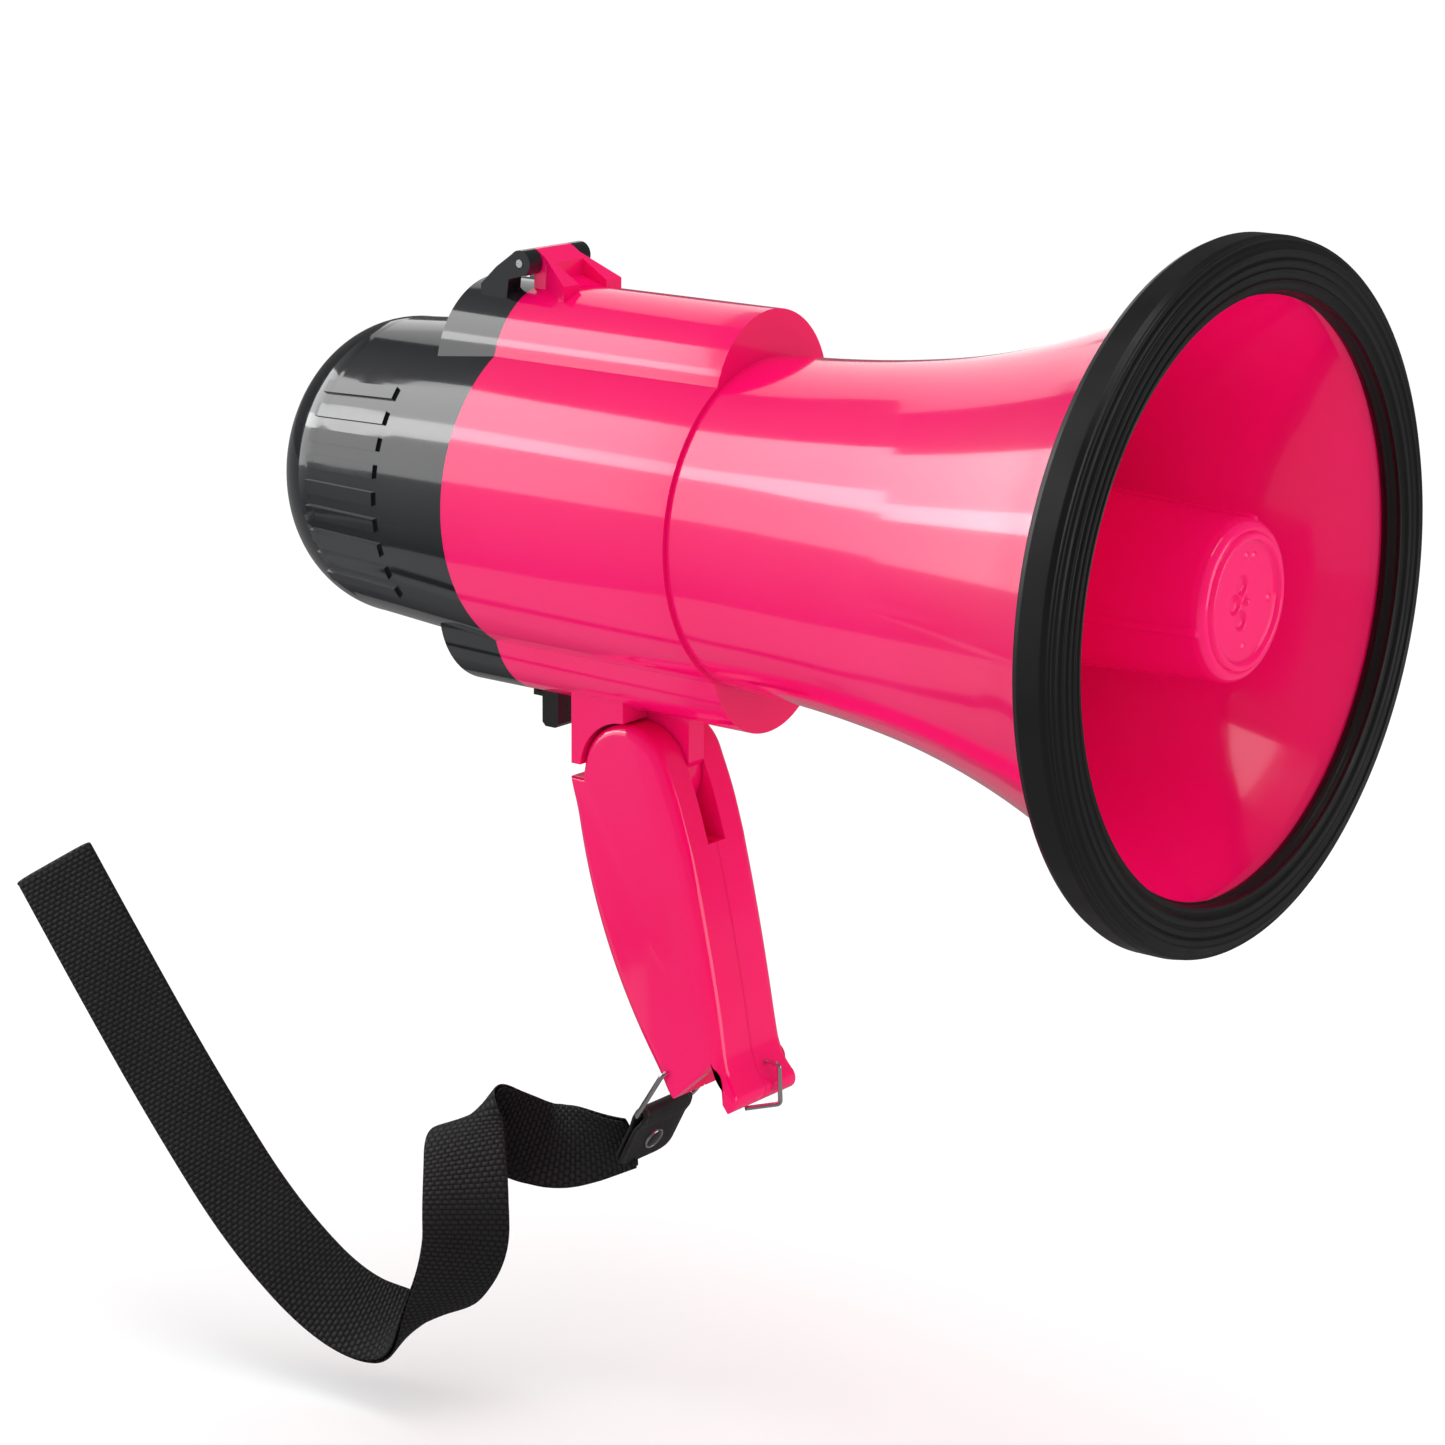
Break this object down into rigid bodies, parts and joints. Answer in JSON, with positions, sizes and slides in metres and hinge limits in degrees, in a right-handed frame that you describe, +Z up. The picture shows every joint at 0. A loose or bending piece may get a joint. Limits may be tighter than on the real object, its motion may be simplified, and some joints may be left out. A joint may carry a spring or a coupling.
{
  "type": "handheld megaphone",
  "caption": "Handheld battery megaphone: flared horn with rubber rim, round housing with hinged rear cover, folding pistol grip and wrist strap.",
  "frame": {"origin": "in the middle of the closed hand's space in the grip, 103 mm under the horn's axis and 160 mm behind its mouth", "axes": "+X out of the horn's mouth along its axis, +Y to the left, +Z up"},
  "size_m": [0.3323, 0.16, 0.3069],
  "materials": {
    "horn_plastic": "glossy injection-moulded ABS in hot pink",
    "cover_plastic": "glossy black ABS",
    "black_plastic": "black moulded plastic",
    "tray_plastic": "dark grey moulded plastic",
    "button_plastic": "glossy red ABS",
    "component_cases": "moulded component cases",
    "diaphragm_film": "amber phenolic film",
    "circuit_board": "green laminate board",
    "rim_rubber": "satin black rubber with moulded grooves",
    "soft_rubber": "soft black rubber",
    "zinc_steel": "zinc-plated steel",
    "nickel_spring": "nickel-plated spring steel",
    "polished_wire": "bright plated steel wire",
    "bright_can": "drawn aluminium",
    "cell_can": null,
    "ferrite": "sintered ferrite",
    "copper_coil": "enamelled copper wire",
    "stud_metal": "black-lacquered press stud",
    "strap_leatherette": "black leatherette",
    "strap_webbing": "black coarse-woven webbing"
  },
  "bodies": {
    "shell": {"horn_bell": "horn_plastic", "rubber_rim": "rim_rubber", "reflector_cup": "horn_plastic", "throat_tube": "horn_plastic", "driver_cap": "black_plastic", "driver_top_plate": "zinc_steel", "driver_magnet": "ferrite", "driver_pole_plate": "zinc_steel", "voice_coil": "copper_coil", "driver_diaphragm": "diaphragm_film", "driver_screws": "zinc_steel", "main_housing": "horn_plastic", "bay_bulkhead": "black_plastic", "battery_tray": "tray_plastic", "battery_cell_top": "cell_can", "battery_cell_bottom": "cell_can", "battery_cell_left": "cell_can", "battery_cell_right": "cell_can", "front_contacts": "nickel_spring"},
    "cover": {"rear_cover": "cover_plastic", "cover_plate": "black_plastic", "cover_contacts": "nickel_spring", "plate_screws": "zinc_steel", "amplifier_board": "circuit_board", "board_screws": "zinc_steel", "board_components": "component_cases", "microphone_grille": "black_plastic", "microphone_boot": "soft_rubber", "microphone_capsule": "bright_can", "volume_pot": "bright_can", "mode_switch": "component_cases", "talk_spring": "nickel_spring", "talk_switch": "component_cases", "hinge_pin": "polished_wire"},
    "volume": {"volume_knob": "black_plastic", "volume_shaft": "bright_can"},
    "mode": {"mode_slider": "button_plastic"},
    "talk": {"talk_button": "button_plastic"},
    "latch": {"cover_latch": "cover_plastic"},
    "handle": {"handle_shell_right": "horn_plastic", "handle_shell_left": "horn_plastic", "pivot_pin": "zinc_steel", "handle_screws": "zinc_steel", "toe_wire": "polished_wire"},
    "lanyard": {"strap_ring": "polished_wire", "strap_tab": "strap_leatherette", "tab_rivet": "stud_metal", "wrist_strap": "strap_webbing"}
  },
  "joints": [
    {"name": "cover_hinge", "type": "hinge", "parent": "shell", "child": "cover", "pos_m": [-0.0405, 0, 0.16], "axis": [0, 1, 0], "range_deg": [0, 100]},
    {"name": "volume_turn", "type": "hinge", "parent": "cover", "child": "volume", "pos_m": [-0.104, 0.01372, 0.11672], "axis": [-1, 0, 0], "range_deg": [0, 270]},
    {"name": "mode_slide", "type": "slide", "parent": "cover", "child": "mode", "axis": [0, 0, 1], "range_m": [0, 0.005]},
    {"name": "talk_press", "type": "slide", "parent": "cover", "child": "talk", "axis": [1, 0, 0], "range_m": [0, 0.002], "stiffness_N_per_m": 300, "springref_m": -0.003, "deforming": ["talk_spring"]},
    {"name": "latch_rock", "type": "hinge", "parent": "shell", "child": "latch", "pos_m": [-0.0376, 0, 0.0532], "axis": [0, -1, 0], "range_deg": [0, 12], "stiffness_Nm_per_rad": 0.05, "springref_deg": -5.73},
    {"name": "grip_fold", "type": "hinge", "parent": "shell", "child": "handle", "pos_m": [-0.007, 0, 0.0365], "axis": [0, -1, 0], "range_deg": [0, 72]},
    {"name": "ring_swing", "type": "hinge", "parent": "handle", "child": "lanyard", "pos_m": [0.0076, 0, -0.0369], "axis": [0, 1, 0], "range_deg": [-60, 60]}
  ]
}
